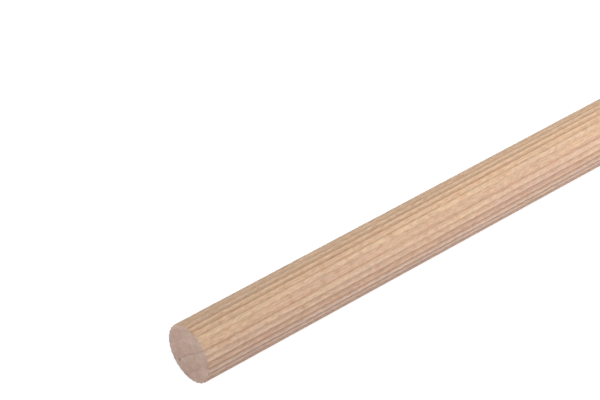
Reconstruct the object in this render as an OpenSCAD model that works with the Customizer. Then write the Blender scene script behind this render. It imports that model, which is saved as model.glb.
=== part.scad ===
// Fluted dowel rod: one straight length of beech with shallow flutes along it and square-sawn ends.
// +X runs along the rod and +Z is up. The origin is midway along it, on the surface it lies on.

/* [Rod] */
// Diameter over the lands, the narrow strips left between the flutes
rod_d = 16; // [12:1:30]
// Length between the two sawn ends
rod_length = 300; // [50:10:1000]

/* [Flutes] */
// Number of flutes round the rod
flute_count = 30; // [16:1:40]
// Depth of a flute below the lands
flute_depth = 0.25; // [0.15:0.05:0.45]
// Width of the land between two flutes
land_width = 0.22; // [0.1:0.02:0.6]

/* [Hidden] */

$fn = 96;

rod_r = rod_d / 2;

// Angles that one flute and land take up together, and each by itself
flute_pitch = 360 / flute_count;
land_angle = 2 * asin(land_width / rod_d);
flute_angle = flute_pitch - land_angle;

// Height of the rod's axis when it lies across its lowest flute, on the edges of two lands
axis_height = rod_r * cos(flute_angle / 2);

// Half the width of a flute, from edge to edge
flute_half = rod_r * sin(flute_angle / 2);
// Drop from a flute's edges to its bottom, less than its depth because the rod is round
flute_drop = flute_depth - (rod_r - axis_height);
// Radius of the round-nosed cutter that leaves a flute of that width and drop
cutter_r = (flute_drop ^ 2 + flute_half ^ 2) / (2 * flute_drop);
// Distance from the rod's axis to the cutter's centre
cutter_reach = rod_r - flute_depth + cutter_r;

// Section across the grain, with the first flute on +X
module fluted_section() {
    difference() {
        circle(d = rod_d);
        for (i = [0 : flute_count - 1])
            rotate(i * flute_pitch)
                translate([cutter_reach, 0])
                    circle(r = cutter_r);
    }
}

// The rod lying along X, with its first flute turned straight down
module dowel_rod() {
    color("burlywood")
        translate([0, 0, axis_height])
            rotate([0, 90, 0])
                linear_extrude(rod_length, center = true)
                    fluted_section();
}

dowel_rod();
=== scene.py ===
"""A fluted dowel rod: one straight length of beech with square-sawn ends, lying on a white floor."""
import math

import bpy
from mathutils import Euler, Matrix, Vector


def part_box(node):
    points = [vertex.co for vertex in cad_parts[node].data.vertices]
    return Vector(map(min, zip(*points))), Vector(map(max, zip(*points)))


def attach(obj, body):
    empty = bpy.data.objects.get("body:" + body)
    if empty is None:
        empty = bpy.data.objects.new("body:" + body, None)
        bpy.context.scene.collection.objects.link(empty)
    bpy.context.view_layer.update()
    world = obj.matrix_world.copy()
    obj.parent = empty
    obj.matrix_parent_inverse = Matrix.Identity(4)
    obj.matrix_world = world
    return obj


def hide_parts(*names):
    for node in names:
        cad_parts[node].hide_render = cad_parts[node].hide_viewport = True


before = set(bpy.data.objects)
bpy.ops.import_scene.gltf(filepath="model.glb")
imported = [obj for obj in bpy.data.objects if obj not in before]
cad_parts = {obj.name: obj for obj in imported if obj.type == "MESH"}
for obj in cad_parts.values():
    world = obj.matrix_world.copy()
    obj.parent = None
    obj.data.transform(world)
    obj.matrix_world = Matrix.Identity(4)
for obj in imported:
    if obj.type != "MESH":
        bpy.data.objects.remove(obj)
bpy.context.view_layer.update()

MM = 0.001

# The rod, from the frame: it lies along X, with one flute straight down
rod_low, rod_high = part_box("dowel_rod")
ROD_LENGTH = rod_high.x - rod_low.x
ROD_RADIUS = (rod_high.y - rod_low.y) / 2
AXIS_HEIGHT = (rod_low.z + rod_high.z) / 2
NEAR_END = Vector((rod_low.x, 0, AXIS_HEIGHT))

# The fluting, by the same rule as the solid's: a round-nosed cutter leaves narrow lands between the flutes
FLUTE_COUNT = 30
FLUTE_DEPTH = 0.25 * MM
LAND_WIDTH = 0.22 * MM
FLUTE_PITCH = 2 * math.pi / FLUTE_COUNT
FLUTE_ANGLE = FLUTE_PITCH - 2 * math.asin(LAND_WIDTH / 2 / ROD_RADIUS)
FLUTE_HALF = ROD_RADIUS * math.sin(FLUTE_ANGLE / 2)
FLUTE_DROP = FLUTE_DEPTH - ROD_RADIUS * (1 - math.cos(FLUTE_ANGLE / 2))
CUTTER_RADIUS = (FLUTE_DROP ** 2 + FLUTE_HALF ** 2) / (2 * FLUTE_DROP)
CUTTER_REACH = ROD_RADIUS - FLUTE_DEPTH + CUTTER_RADIUS

# What the tools and handling leave on the edges: at the ends the lands stand out, so they wear rounder
LAND_SOFTNESS = 0.05 * MM
LAND_ARRIS = 0.22 * MM
FLUTE_ARRIS = 0.1 * MM
# The share of its depth by which a flute wanders, and over what length
DEPTH_WANDER = 0.08
WANDER_LENGTH = 25 * MM
WANDER_SEED = 7

# Faces of the rod's mesh, and how near its points lie where they are joined
POINTS_PER_FLUTE = 30
BODY_RINGS = 40
ARRIS_RINGS = 3
END_RINGS = 2
WELD = 0.001 * MM

# The log that the rod was cut from: its pith lies above and behind, so the years run down to the front
PITH_DISTANCE = 250 * MM
PITH_TURN = math.radians(216.5)
RING_WIDTH = 4.4 * MM
# How far in front of the axis the clearest ring line crosses, and how far the rings wander
RING_LINE = 0.55 * MM
RING_WAVE = 1.2 * MM
# Shares of a year at which its line sets in and is full, and from which the next year takes over
LINE_STARTS = 0.86
LINE_FULL = 0.97
YEAR_TURNS = 0.975
# Years from the clearest line up to which a line is as clear, and past which it shows only this share
CLEAR_YEARS = 0.25
FAINT_YEARS = 0.5
FAINT_LINE = 0.2

# Noise runs from 0 to 1, and most of it lies between these
NOISE_LOW = 0.3
NOISE_MIDDLE = 0.5
NOISE_HIGH = 0.7

# Grains of the wood's patterns: their length along the rod, round the pith and out from it
RING_WAVE_GRAIN = (40 * MM, 6 * MM, 30 * MM)
TONE_GRAIN = (50 * MM, 2.5 * MM, 2.5 * MM)
FIBRE_GRAIN = (16 * MM, 0.4 * MM, 0.4 * MM)
# Beech's vessels are 0.05 mm across, too fine to show, so their mottle is drawn seven times coarser
MOTTLE_GRAIN = (1.7 * MM, 0.35 * MM, 0.35 * MM)
RAY_GRAIN = (2.2 * MM, 0.3 * MM, 2.0 * MM)
END_RAY_GRAIN = (2.2 * MM, 0.45 * MM, 12 * MM)
END_TONE_GRAIN = (20 * MM, 3 * MM, 1.5 * MM)

# Both cuts of the wood: how far its grain stands up, and how it bends light
GRAIN_RELIEF = 0.03 * MM
WOOD_IOR = 1.5

# The fluted side: honey turns to rose over these years from the clearest line, give or take the patches
HONEY = "D9B796"
ROSE = "CFAE99"
ROSE_YEARS = (-1.0, 1.3)
TONE_PATCH = 0.4
# The outer, lower side is drawn paler over these years: partly the youngest wood's tone, partly painted light
# from the white floor below
YOUNG_WOOD_AND_FLOOR_LIGHT = "DDBEAB"
YOUNG_AND_FLOOR_LIT_YEARS = (0.9, 1.6)
# Late wood builds up from this share of a year to its end
LATE_WOOD = "C59470"
LATE_STARTS = 0.35
LATE_SHARE = 0.3
SIDE_LINE = "AA7B5E"
SIDE_LINE_SHARE = 0.35
# A fleck shows where the rays' noise is within this band or above it
FLECK = "C0845F"
FLECK_NOISE = (0.54, 0.72)
FLECK_SHARE = 0.35
# How much lighter and darker the fibres and the mottle make the wood
FIBRE_SHADE = 0.05
MOTTLE_SHADE = 0.15
SIDE_ROUGHNESS = 0.62

# The sawn end: it is duller in patches, and towards the end of each year
END_PALE = "D3B9AA"
END_DULL = "C1A090"
END_PATCH = (-0.2, 0.8)
END_SEASON_SHARE = 0.4
END_LINE = "86685B"
END_LINE_SHARE = 0.28
END_RAY = "DCC6B8"
END_RAY_NOISE = (0.55, 0.7)
END_RAY_SHARE = 0.25
PORE_SHADE = 0.1
END_ROUGHNESS = 0.8

# A dark speck in the near end, where a bud once grew
SPECK = NEAR_END + Vector((0, 4.0, -3.9)) * MM
SPECK_CORE = 0.15 * MM
SPECK_RIM = 0.55 * MM
SPECK_BROWN = "6B4D3E"
SPECK_SHARE = 0.7

# Sockets of a Mix node that mixes colours: the share of the upper one, the two colours, and the result
MIX_SHARE = 0
MIX_UNDER = 6
MIX_OVER = 7
MIX_RESULT = 2

# Light, at a level where a colour renders about as it is written, and brightest past the rod's middle
SKY_STRENGTH = 0.05
BRIGHTEST = (80 * MM, 0, AXIS_HEIGHT)
# Where each lamp is aimed, its azimuth and elevation in degrees, distance, width and height in metres,
# spread in degrees, and watts. The back is lit mostly off the floor, so that the flutes along the top keep
# their shade.
LAMPS = {
    "front": (BRIGHTEST, 0, 53, 0.42, 0.2, 0.2, 180, 1.7),
    "low_front": (BRIGHTEST, 0, 4, 0.5, 0.4, 0.04, 180, 0.46),
    "near_end": ((-ROD_LENGTH / 2, 0, AXIS_HEIGHT), -90, 12, 0.55, 0.3, 0.2, 180, 1.77),
    "far_end": ((ROD_LENGTH / 2, 0, AXIS_HEIGHT), 90, 3, 0.55, 0.3, 0.05, 180, 1.7),
    "back": ((0, 0, AXIS_HEIGHT), 180, 4, 0.45, 0.4, 0.05, 180, 0.55),
    "floor_back": ((0, 110 * MM, 0), 0, 90, 0.05, 0.4, 0.12, 60, 2.4),
}

# Floor: what shows is a shade over a glow, which makes it white, and the light it throws back is grey paper's
FLOOR_REACH = 4.0
FLOOR_GLOW = 0.94
FLOOR_SHADE = "959595"
FLOOR_BOUNCE = "A2A2A2"

# Camera, as the photograph was taken: a long lens, looking down on the near end
PICTURE_WIDTH = 600
PICTURE_HEIGHT = 400
SENSOR_WIDTH = 36
LENS = 163.1
CAMERA_AZIMUTH = math.radians(-37.98)
CAMERA_ELEVATION = math.radians(33.64)
CAMERA_ROLL = math.radians(-3.93)
NEAR_END_PIXEL = (188.51, 354.15)
NEAR_END_DEPTH = 0.6616


def linear(hex_colour):
    """An sRGB hex colour as linear RGBA."""
    channels = [int(hex_colour[i:i + 2], 16) / 255 for i in (0, 2, 4)]
    return [c / 12.92 if c <= 0.04045 else ((c + 0.055) / 1.055) ** 2.4 for c in channels] + [1.0]


def node(tree, kind, inputs=None, **settings):
    """Adds a node with its settings, and gives each input a value or a link."""
    made = tree.nodes.new(kind)
    for name, value in settings.items():
        setattr(made, name, value)
    for key, value in (inputs or {}).items():
        if isinstance(value, bpy.types.NodeSocket):
            tree.links.new(value, made.inputs[key])
        else:
            made.inputs[key].default_value = value
    return made


def fluted_rod_tree(sizes):
    """The rod's surface as one grid: out from the middle of an end, over its arris and along the flutes."""
    tree = bpy.data.node_groups.new("fluted_rod", "GeometryNodeTree")
    for name, value in sizes.items():
        kind = {int: "NodeSocketInt", float: "NodeSocketFloat"}.get(type(value), "NodeSocketMaterial")
        tree.interface.new_socket(name, in_out="INPUT", socket_type=kind)
    tree.interface.new_socket("Rod", in_out="OUTPUT", socket_type="NodeSocketGeometry")
    size = node(tree, "NodeGroupInput").outputs

    # A flat grid whose X runs along the rod, from -1 to 1, and whose Y runs once round it
    half_rings = BODY_RINGS + ARRIS_RINGS + END_RINGS
    points_round = FLUTE_COUNT * POINTS_PER_FLUTE
    grid = node(tree, "GeometryNodeMeshGrid", {"Size X": 2.0, "Size Y": 1.0, "Vertices X": 2 * half_rings + 1,
                "Vertices Y": points_round + 1}).outputs[0]
    flat = node(tree, "GeometryNodeInputPosition").outputs[0]
    flat = node(tree, "ShaderNodeSeparateXYZ", {0: flat}).outputs
    end_sign = node(tree, "ShaderNodeMath", {0: flat["X"]}, operation="SIGN").outputs[0]
    from_middle = node(tree, "ShaderNodeMath", {0: flat["X"]}, operation="ABSOLUTE").outputs[0]
    ring = node(tree, "ShaderNodeMath", {0: from_middle, 1: half_rings}, operation="MULTIPLY").outputs[0]

    # How far a ring is along the body, round the arris and in across the end
    along = node(tree, "ShaderNodeMapRange", {"Value": ring, "From Max": BODY_RINGS}).outputs[0]
    round_arris = node(tree, "ShaderNodeMapRange", {"Value": ring, "From Min": BODY_RINGS,
                       "From Max": BODY_RINGS + ARRIS_RINGS, "To Max": math.pi / 2}).outputs[0]
    kept_radius = node(tree, "ShaderNodeMapRange", {"Value": ring, "From Min": BODY_RINGS + ARRIS_RINGS,
                       "From Max": half_rings, "To Min": 1.0, "To Max": 0.0}).outputs[0]

    # Which flute a point lies in, and its angle from the middle of that flute
    turn = node(tree, "ShaderNodeMath", {0: flat["Y"], 1: 2 * math.pi}, operation="MULTIPLY").outputs[0]
    flutes_round = node(tree, "ShaderNodeMath", {0: flat["Y"], 1: size["Flute count"]},
                        operation="MULTIPLY").outputs[0]
    flute_number = node(tree, "ShaderNodeMath", {0: flutes_round}, operation="ROUND").outputs[0]
    off_middle = node(tree, "ShaderNodeMath", {0: flutes_round, 1: flute_number},
                      operation="SUBTRACT").outputs[0]
    pitch = node(tree, "ShaderNodeMath", {0: 2 * math.pi, 1: size["Flute count"]},
                 operation="DIVIDE").outputs[0]
    flute_turn = node(tree, "ShaderNodeMath", {0: off_middle, 1: pitch}, operation="MULTIPLY").outputs[0]

    # The cutter's arc there, as a distance from the rod's axis
    turn_sine = node(tree, "ShaderNodeMath", {0: flute_turn}, operation="SINE").outputs[0]
    turn_cosine = node(tree, "ShaderNodeMath", {0: flute_turn}, operation="COSINE").outputs[0]
    across = node(tree, "ShaderNodeMath", {0: turn_sine, 1: size["Cutter reach"]},
                  operation="MULTIPLY").outputs[0]
    across_share = node(tree, "ShaderNodeMath", {0: across, 1: size["Cutter radius"]},
                        operation="DIVIDE").outputs[0]
    arc_angle = node(tree, "ShaderNodeMath", {0: across_share}, operation="ARCSINE").outputs[0]
    arc_cosine = node(tree, "ShaderNodeMath", {0: arc_angle}, operation="COSINE").outputs[0]
    arc_height = node(tree, "ShaderNodeMath", {0: arc_cosine, 1: size["Cutter radius"]},
                      operation="MULTIPLY").outputs[0]
    centre_out = node(tree, "ShaderNodeMath", {0: turn_cosine, 1: size["Cutter reach"]},
                      operation="MULTIPLY").outputs[0]
    flute_radius = node(tree, "ShaderNodeMath", {0: centre_out, 1: arc_height},
                        operation="SUBTRACT").outputs[0]

    # Each flute's depth wanders a little along the rod, as a blade's cut does
    half_length = node(tree, "ShaderNodeMath", {0: size["Length"], 1: 0.5}, operation="MULTIPLY").outputs[0]
    half_wanders = node(tree, "ShaderNodeMath", {0: half_length, 1: size["Wander length"]},
                        operation="DIVIDE").outputs[0]
    wander_along = node(tree, "ShaderNodeMath", {0: flat["X"], 1: half_wanders},
                        operation="MULTIPLY").outputs[0]
    own_flute = node(tree, "ShaderNodeMath", {0: flute_number, 1: size["Flute count"]},
                     operation="MODULO").outputs[0]
    wander_place = node(tree, "ShaderNodeCombineXYZ", {0: wander_along, 1: own_flute}).outputs[0]
    wander = node(tree, "ShaderNodeTexNoise", {"Vector": wander_place, "W": size["Seed"], "Scale": 1.0,
                  "Detail": 1.0}, noise_dimensions="4D").outputs[0]
    wander = node(tree, "ShaderNodeMath", {0: wander, 1: NOISE_MIDDLE}, operation="SUBTRACT").outputs[0]
    depth_share = node(tree, "ShaderNodeMath", {0: wander, 1: size["Depth wander"], 2: 1.0},
                       operation="MULTIPLY_ADD").outputs[0]
    cut_depth = node(tree, "ShaderNodeMath", {0: size["Radius"], 1: flute_radius},
                     operation="SUBTRACT").outputs[0]
    cut_depth = node(tree, "ShaderNodeMath", {0: cut_depth, 1: depth_share}, operation="MULTIPLY").outputs[0]
    cut_radius = node(tree, "ShaderNodeMath", {0: size["Radius"], 1: cut_depth},
                      operation="SUBTRACT").outputs[0]

    # The land cuts the flute off, with a softened edge
    section = node(tree, "ShaderNodeMath", {0: size["Radius"], 1: cut_radius, 2: size["Land softness"]},
                   operation="SMOOTH_MIN").outputs[0]
    flute_bottom = node(tree, "ShaderNodeMath", {0: size["Radius"], 1: size["Flute depth"]},
                        operation="SUBTRACT").outputs[0]
    arris = node(tree, "ShaderNodeMapRange", {"Value": section, "From Min": flute_bottom,
                 "From Max": size["Radius"], "To Min": size["Flute arris"],
                 "To Max": size["Land arris"]}).outputs[0]

    # Place along the rod, which the arris shortens, and the radius, which the arris and the end draw in
    straight = node(tree, "ShaderNodeMath", {0: half_length, 1: arris}, operation="SUBTRACT").outputs[0]
    arris_sine = node(tree, "ShaderNodeMath", {0: round_arris}, operation="SINE").outputs[0]
    arris_out = node(tree, "ShaderNodeMath", {0: arris_sine, 1: arris}, operation="MULTIPLY").outputs[0]
    reached = node(tree, "ShaderNodeMath", {0: along, 1: straight, 2: arris_out},
                   operation="MULTIPLY_ADD").outputs[0]
    place_x = node(tree, "ShaderNodeMath", {0: reached, 1: end_sign}, operation="MULTIPLY").outputs[0]
    arris_cosine = node(tree, "ShaderNodeMath", {0: round_arris}, operation="COSINE").outputs[0]
    arris_in = node(tree, "ShaderNodeMath", {0: 1.0, 1: arris_cosine}, operation="SUBTRACT").outputs[0]
    arris_in = node(tree, "ShaderNodeMath", {0: arris_in, 1: arris}, operation="MULTIPLY").outputs[0]
    radius = node(tree, "ShaderNodeMath", {0: section, 1: arris_in}, operation="SUBTRACT").outputs[0]
    radius = node(tree, "ShaderNodeMath", {0: radius, 1: kept_radius}, operation="MULTIPLY").outputs[0]

    # Turned from straight down, round the axis
    sine = node(tree, "ShaderNodeMath", {0: turn}, operation="SINE").outputs[0]
    cosine = node(tree, "ShaderNodeMath", {0: turn}, operation="COSINE").outputs[0]
    place_y = node(tree, "ShaderNodeMath", {0: radius, 1: sine}, operation="MULTIPLY").outputs[0]
    drop = node(tree, "ShaderNodeMath", {0: radius, 1: cosine}, operation="MULTIPLY").outputs[0]
    place_z = node(tree, "ShaderNodeMath", {0: size["Axis height"], 1: drop}, operation="SUBTRACT").outputs[0]
    place = node(tree, "ShaderNodeCombineXYZ", {0: place_x, 1: place_y, 2: place_z}).outputs[0]

    # The ends are told from the flutes before the grid is bent
    is_end = node(tree, "FunctionNodeCompare", {0: ring, 1: float(BODY_RINGS + ARRIS_RINGS)},
                  operation="GREATER_THAN").outputs[0]
    marked = node(tree, "GeometryNodeStoreNamedAttribute", {"Geometry": grid, "Name": "sawn_end",
                  "Value": is_end}, data_type="BOOLEAN", domain="FACE").outputs[0]
    bent = node(tree, "GeometryNodeSetPosition", {"Geometry": marked, "Position": place}).outputs[0]
    closed = node(tree, "GeometryNodeMergeByDistance", {"Geometry": bent, "Distance": WELD}).outputs[0]
    sawn = node(tree, "GeometryNodeInputNamedAttribute", {"Name": "sawn_end"}, data_type="BOOLEAN").outputs[0]
    fluted = node(tree, "FunctionNodeBooleanMath", {0: sawn}, operation="NOT").outputs[0]
    smooth = node(tree, "GeometryNodeSetShadeSmooth", {"Geometry": closed, "Shade Smooth": fluted}).outputs[0]
    whole = node(tree, "GeometryNodeRealizeInstances", {0: smooth}).outputs[0]
    sided = node(tree, "GeometryNodeSetMaterial", {"Geometry": whole,
                 "Material": size["Fluted side"]}).outputs[0]
    ended = node(tree, "GeometryNodeSetMaterial", {"Geometry": sided, "Selection": sawn,
                 "Material": size["Sawn end"]}).outputs[0]
    node(tree, "NodeGroupOutput", {0: ended})
    return tree


def make_rod(side_material, end_material):
    """The rod as a plain mesh in its place."""
    sizes = {
        "Length": ROD_LENGTH,
        "Radius": ROD_RADIUS,
        "Axis height": AXIS_HEIGHT,
        "Flute count": FLUTE_COUNT,
        "Flute depth": FLUTE_DEPTH,
        "Cutter radius": CUTTER_RADIUS,
        "Cutter reach": CUTTER_REACH,
        "Land softness": LAND_SOFTNESS,
        "Land arris": LAND_ARRIS,
        "Flute arris": FLUTE_ARRIS,
        "Depth wander": DEPTH_WANDER,
        "Wander length": WANDER_LENGTH,
        "Seed": WANDER_SEED,
        "Fluted side": side_material,
        "Sawn end": end_material,
    }
    tree = fluted_rod_tree(sizes)
    rod = bpy.data.objects.new("fluted_beech_rod", bpy.data.meshes.new("fluting"))
    bpy.context.scene.collection.objects.link(rod)
    fluting = rod.modifiers.new("fluting", "NODES")
    fluting.node_group = tree
    for socket in tree.interface.items_tree:
        if socket.in_out == "INPUT":
            fluting[socket.identifier] = sizes[socket.name]
    finished = bpy.data.meshes.new_from_object(rod.evaluated_get(bpy.context.evaluated_depsgraph_get()))
    rod.modifiers.remove(fluting)
    rod.data = finished
    return rod


def bare_material(name):
    """A material that has no nodes yet."""
    material = bpy.data.materials.new(name)
    material.use_nodes = True
    material.node_tree.nodes.clear()
    return material


def place_in_log(tree):
    """Where a point lies in the log: along the grain, round the pith and out from it, in metres."""
    to_pith_y = AXIS_HEIGHT * math.sin(PITH_TURN)
    to_pith_z = PITH_DISTANCE - AXIS_HEIGHT * math.cos(PITH_TURN)
    place = node(tree, "ShaderNodeTexCoord").outputs["Object"]
    turned = node(tree, "ShaderNodeMapping", {"Vector": place, "Location": (0, to_pith_y, to_pith_z),
                  "Rotation": (PITH_TURN, 0, 0)}).outputs[0]
    part = node(tree, "ShaderNodeSeparateXYZ", {0: turned}).outputs
    across = node(tree, "ShaderNodeCombineXYZ", {1: part["Y"], 2: part["Z"]}).outputs[0]
    out = node(tree, "ShaderNodeVectorMath", {0: across}, operation="LENGTH").outputs["Value"]
    round_pith = node(tree, "ShaderNodeMath", {0: part["Y"], 1: part["Z"]}, operation="ARCTAN2").outputs[0]
    round_pith = node(tree, "ShaderNodeMath", {0: round_pith, 1: PITH_DISTANCE},
                      operation="MULTIPLY").outputs[0]
    return node(tree, "ShaderNodeCombineXYZ", {0: part["X"], 1: round_pith, 2: out}).outputs[0]


def wood_noise(tree, log_place, grain, detail=2.0):
    """Noise whose grains have that length along the rod, round the pith and out from it."""
    scaled = node(tree, "ShaderNodeVectorMath", {0: log_place, 1: grain}, operation="DIVIDE").outputs[0]
    return node(tree, "ShaderNodeTexNoise", {"Vector": scaled, "Scale": 1.0, "Detail": detail}).outputs[0]


def growth_rings(tree, log_place):
    """Years from the clearest line, how far on in its year a point is, and how clear a line it lies on."""
    wave = wood_noise(tree, log_place, RING_WAVE_GRAIN)
    wave = node(tree, "ShaderNodeMath", {0: wave, 1: NOISE_MIDDLE}, operation="SUBTRACT").outputs[0]
    out = node(tree, "ShaderNodeSeparateXYZ", {0: log_place}).outputs["Z"]
    out = node(tree, "ShaderNodeMath", {0: wave, 1: RING_WAVE, 2: out}, operation="MULTIPLY_ADD").outputs[0]
    from_line = node(tree, "ShaderNodeMath", {0: out, 1: PITH_DISTANCE + RING_LINE},
                     operation="SUBTRACT").outputs[0]
    years = node(tree, "ShaderNodeMath", {0: from_line, 1: RING_WIDTH}, operation="DIVIDE").outputs[0]
    season = node(tree, "ShaderNodeMath", {0: years}, operation="FRACT").outputs[0]
    line = node(tree, "ShaderNodeMapRange", {"Value": season, "From Min": LINE_STARTS, "From Max": LINE_FULL},
                interpolation_type="SMOOTHSTEP").outputs[0]
    # The next year starts over a short stretch, so that its edge isn't jagged
    start = node(tree, "ShaderNodeMapRange", {"Value": season, "From Min": YEAR_TURNS, "To Min": 1.0,
                 "To Max": 0.0}).outputs[0]
    season = node(tree, "ShaderNodeMath", {0: season, 1: start}, operation="MULTIPLY").outputs[0]
    line = node(tree, "ShaderNodeMath", {0: line, 1: start}, operation="MULTIPLY").outputs[0]
    # One year near the rod's middle ended in the clearest line
    years_off = node(tree, "ShaderNodeMath", {0: years}, operation="ABSOLUTE").outputs[0]
    clear = node(tree, "ShaderNodeMapRange", {"Value": years_off, "From Min": CLEAR_YEARS,
                 "From Max": FAINT_YEARS, "To Min": 1.0, "To Max": FAINT_LINE}).outputs[0]
    line = node(tree, "ShaderNodeMath", {0: line, 1: clear}, operation="MULTIPLY").outputs[0]
    return years, season, line


def fluted_beech():
    """Steamed beech off a moulder: matte and mottled, turning from honey to rose outwards from the pith. Each
    year ends warmer and in a thin line, the outer, lower side is paler, partly the youngest wood's tone and
    partly painted light from the floor below, and the rays are short brown flecks."""
    material = bare_material("beech_moulder_fluted")
    tree = material.node_tree
    log_place = place_in_log(tree)
    years, season, line = growth_rings(tree, log_place)

    # Honey to rose, in patches
    outward = node(tree, "ShaderNodeMapRange", {"Value": years, "From Min": ROSE_YEARS[0],
                   "From Max": ROSE_YEARS[1]}).outputs[0]
    patch = wood_noise(tree, log_place, TONE_GRAIN)
    patch = node(tree, "ShaderNodeMapRange", {"Value": patch, "From Min": NOISE_LOW, "From Max": NOISE_HIGH,
                 "To Min": -TONE_PATCH, "To Max": TONE_PATCH}).outputs[0]
    tone = node(tree, "ShaderNodeMath", {0: outward, 1: patch}, operation="ADD", use_clamp=True).outputs[0]
    wood = node(tree, "ShaderNodeMix", {MIX_SHARE: tone, MIX_UNDER: linear(HONEY), MIX_OVER: linear(ROSE)},
                data_type="RGBA").outputs[MIX_RESULT]

    # Over it, in turn, the paler outer side (partly young wood, partly painted light from the floor below),
    # the end of each year, its line and the ray flecks
    young_and_floor_lit = node(tree, "ShaderNodeMapRange", {"Value": years, "From Min": YOUNG_AND_FLOOR_LIT_YEARS[0],
                 "From Max": YOUNG_AND_FLOOR_LIT_YEARS[1]}).outputs[0]
    late = node(tree, "ShaderNodeMapRange", {"Value": season, "From Min": LATE_STARTS,
                "To Max": LATE_SHARE}).outputs[0]
    line = node(tree, "ShaderNodeMath", {0: line, 1: SIDE_LINE_SHARE}, operation="MULTIPLY").outputs[0]
    ray = wood_noise(tree, log_place, RAY_GRAIN, detail=1.0)
    fleck = node(tree, "ShaderNodeMapRange", {"Value": ray, "From Min": FLECK_NOISE[0],
                 "From Max": FLECK_NOISE[1], "To Max": FLECK_SHARE}).outputs[0]
    for share, colour in ((young_and_floor_lit, YOUNG_WOOD_AND_FLOOR_LIGHT), (late, LATE_WOOD), (line, SIDE_LINE), (fleck, FLECK)):
        wood = node(tree, "ShaderNodeMix", {MIX_SHARE: share, MIX_UNDER: wood, MIX_OVER: linear(colour)},
                    data_type="RGBA").outputs[MIX_RESULT]

    # Fibres and mottle shade all of it
    fibre = wood_noise(tree, log_place, FIBRE_GRAIN, detail=3.0)
    mottle = wood_noise(tree, log_place, MOTTLE_GRAIN)
    for noise, depth in ((fibre, FIBRE_SHADE), (mottle, MOTTLE_SHADE)):
        shade = node(tree, "ShaderNodeMapRange", {"Value": noise, "From Min": NOISE_LOW,
                     "From Max": NOISE_HIGH, "To Min": 1 - depth, "To Max": 1 + depth}).outputs[0]
        wood = node(tree, "ShaderNodeVectorMath", {0: wood, 1: shade}, operation="MULTIPLY").outputs[0]
    bump = node(tree, "ShaderNodeBump", {"Height": fibre, "Distance": GRAIN_RELIEF}).outputs[0]
    surface = node(tree, "ShaderNodeBsdfPrincipled", {"Base Color": wood, "Roughness": SIDE_ROUGHNESS,
                   "IOR": WOOD_IOR, "Normal": bump}).outputs[0]
    node(tree, "ShaderNodeOutputMaterial", {"Surface": surface})
    return material


def sawn_end_grain():
    """Beech end grain off a fine saw: duller and greyer than the side, with ring lines and faint rays."""
    material = bare_material("beech_end_grain_sawn")
    tree = material.node_tree
    log_place = place_in_log(tree)
    season, line = growth_rings(tree, log_place)[1:]

    # Pale to dull, in patches and by the season
    patch = wood_noise(tree, log_place, END_TONE_GRAIN)
    patch = node(tree, "ShaderNodeMapRange", {"Value": patch, "From Min": NOISE_LOW, "From Max": NOISE_HIGH,
                 "To Min": END_PATCH[0], "To Max": END_PATCH[1]}).outputs[0]
    tone = node(tree, "ShaderNodeMath", {0: season, 1: END_SEASON_SHARE, 2: patch}, operation="MULTIPLY_ADD",
                use_clamp=True).outputs[0]
    wood = node(tree, "ShaderNodeMix", {MIX_SHARE: tone, MIX_UNDER: linear(END_PALE),
                MIX_OVER: linear(END_DULL)}, data_type="RGBA").outputs[MIX_RESULT]

    # Over it, in turn, the ring lines and the pale rays
    line = node(tree, "ShaderNodeMath", {0: line, 1: END_LINE_SHARE}, operation="MULTIPLY").outputs[0]
    ray = wood_noise(tree, log_place, END_RAY_GRAIN, detail=1.0)
    pale_ray = node(tree, "ShaderNodeMapRange", {"Value": ray, "From Min": END_RAY_NOISE[0],
                    "From Max": END_RAY_NOISE[1], "To Max": END_RAY_SHARE}).outputs[0]
    for share, colour in ((line, END_LINE), (pale_ray, END_RAY)):
        wood = node(tree, "ShaderNodeMix", {MIX_SHARE: share, MIX_UNDER: wood, MIX_OVER: linear(colour)},
                    data_type="RGBA").outputs[MIX_RESULT]

    # The open pores speckle it, and the speck lies over all
    pore = wood_noise(tree, log_place, MOTTLE_GRAIN)
    speckle = node(tree, "ShaderNodeMapRange", {"Value": pore, "From Min": NOISE_LOW, "From Max": NOISE_HIGH,
                   "To Min": 1 - PORE_SHADE, "To Max": 1 + PORE_SHADE}).outputs[0]
    wood = node(tree, "ShaderNodeVectorMath", {0: wood, 1: speckle}, operation="MULTIPLY").outputs[0]
    place = node(tree, "ShaderNodeTexCoord").outputs["Object"]
    from_speck = node(tree, "ShaderNodeVectorMath", {0: place, 1: SPECK},
                      operation="DISTANCE").outputs["Value"]
    speck = node(tree, "ShaderNodeMapRange", {"Value": from_speck, "From Min": SPECK_CORE,
                 "From Max": SPECK_RIM, "To Min": SPECK_SHARE, "To Max": 0.0}).outputs[0]
    wood = node(tree, "ShaderNodeMix", {MIX_SHARE: speck, MIX_UNDER: wood, MIX_OVER: linear(SPECK_BROWN)},
                data_type="RGBA").outputs[MIX_RESULT]
    bump = node(tree, "ShaderNodeBump", {"Height": pore, "Distance": GRAIN_RELIEF}).outputs[0]
    surface = node(tree, "ShaderNodeBsdfPrincipled", {"Base Color": wood, "Roughness": END_ROUGHNESS,
                   "IOR": WOOD_IOR, "Normal": bump}).outputs[0]
    node(tree, "ShaderNodeOutputMaterial", {"Surface": surface})
    return material


def seen_directly(tree):
    """1 for what the camera, a reflection or a view through glass sees, and 0 for the light that falls."""
    path = node(tree, "ShaderNodeLightPath").outputs
    seen = node(tree, "ShaderNodeMath", {0: path["Is Camera Ray"], 1: path["Is Glossy Ray"]},
                operation="MAXIMUM").outputs[0]
    return node(tree, "ShaderNodeMath", {0: seen, 1: path["Is Transmission Ray"]},
                operation="MAXIMUM").outputs[0]


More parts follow.
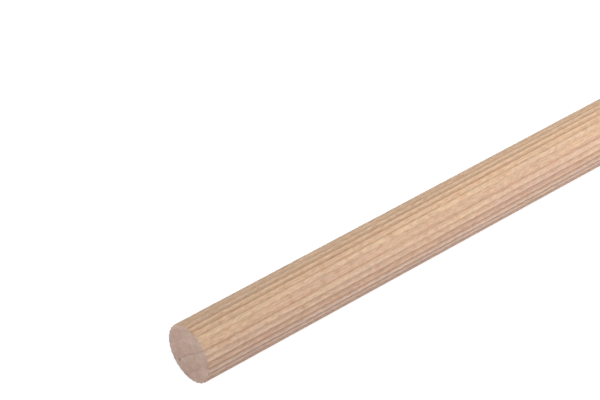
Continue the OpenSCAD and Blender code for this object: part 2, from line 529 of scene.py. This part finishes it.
def make_floor():
    """Matte white paper, which shows as white and keeps the rod's shadow."""
    paper = bare_material("paper_matte_white")
    tree = paper.node_tree
    lighting = node(tree, "ShaderNodeBsdfDiffuse", {"Color": linear(FLOOR_BOUNCE)}).outputs[0]
    shade = node(tree, "ShaderNodeBsdfDiffuse", {"Color": linear(FLOOR_SHADE)}).outputs[0]
    glow = node(tree, "ShaderNodeEmission", {"Strength": FLOOR_GLOW}).outputs[0]
    shown = node(tree, "ShaderNodeAddShader", {0: shade, 1: glow}).outputs[0]
    surface = node(tree, "ShaderNodeMixShader", {0: seen_directly(tree), 1: lighting, 2: shown}).outputs[0]
    node(tree, "ShaderNodeOutputMaterial", {"Surface": surface})
    mesh = bpy.data.meshes.new("floor")
    corners = [(x * FLOOR_REACH, y * FLOOR_REACH, 0) for x, y in ((-1, -1), (1, -1), (1, 1), (-1, 1))]
    mesh.from_pydata(corners, [], [(0, 1, 2, 3)])
    mesh.materials.append(paper)
    floor = bpy.data.objects.new("floor", mesh)
    bpy.context.scene.collection.objects.link(floor)


def make_light():
    """Soft lamps on every side, a light off the floor behind the rod, and a faint even sky."""
    world = bpy.data.worlds.new("studio")
    world.use_nodes = True
    tree = world.node_tree
    tree.nodes.clear()
    strength = node(tree, "ShaderNodeMapRange", {"Value": seen_directly(tree),
                    "To Min": SKY_STRENGTH}).outputs[0]
    sky = node(tree, "ShaderNodeBackground", {"Color": (1, 1, 1, 1), "Strength": strength}).outputs[0]
    node(tree, "ShaderNodeOutputWorld", {"Surface": sky})
    bpy.context.scene.world = world

    for name, (aim, azimuth, elevation, distance, width, height, spread, watts) in LAMPS.items():
        light = bpy.data.lights.new(name, "AREA")
        light.shape = "RECTANGLE"
        light.size = width
        light.size_y = height
        light.spread = math.radians(spread)
        light.energy = watts
        lamp = bpy.data.objects.new(name, light)
        turn = Euler((math.pi / 2 - math.radians(elevation), 0, math.radians(azimuth)))
        lamp.rotation_euler = turn
        lamp.location = Vector(aim) + turn.to_matrix() @ Vector((0, 0, distance))
        bpy.context.scene.collection.objects.link(lamp)


def make_camera():
    """The photograph's view, placed by where the middle of the near end shows in it."""
    lens = bpy.data.cameras.new("camera")
    lens.sensor_width = SENSOR_WIDTH
    lens.lens = LENS
    camera = bpy.data.objects.new("camera", lens)
    level = Euler((math.pi / 2 - CAMERA_ELEVATION, 0, CAMERA_AZIMUTH)).to_matrix()
    turn = level @ Matrix.Rotation(CAMERA_ROLL, 3, "Z")
    focal_pixels = LENS / SENSOR_WIDTH * PICTURE_WIDTH
    ray = Vector(((NEAR_END_PIXEL[0] - PICTURE_WIDTH / 2) / focal_pixels,
                  (PICTURE_HEIGHT / 2 - NEAR_END_PIXEL[1]) / focal_pixels, -1))
    camera.matrix_world = Matrix.Translation(NEAR_END - turn @ ray * NEAR_END_DEPTH) @ turn.to_4x4()
    bpy.context.scene.collection.objects.link(camera)
    bpy.context.scene.camera = camera


bpy.context.scene.view_settings.view_transform = "Standard"
make_camera()
make_light()
make_floor()

rod = make_rod(fluted_beech(), sawn_end_grain())
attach(rod, "root")
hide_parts("dowel_rod")
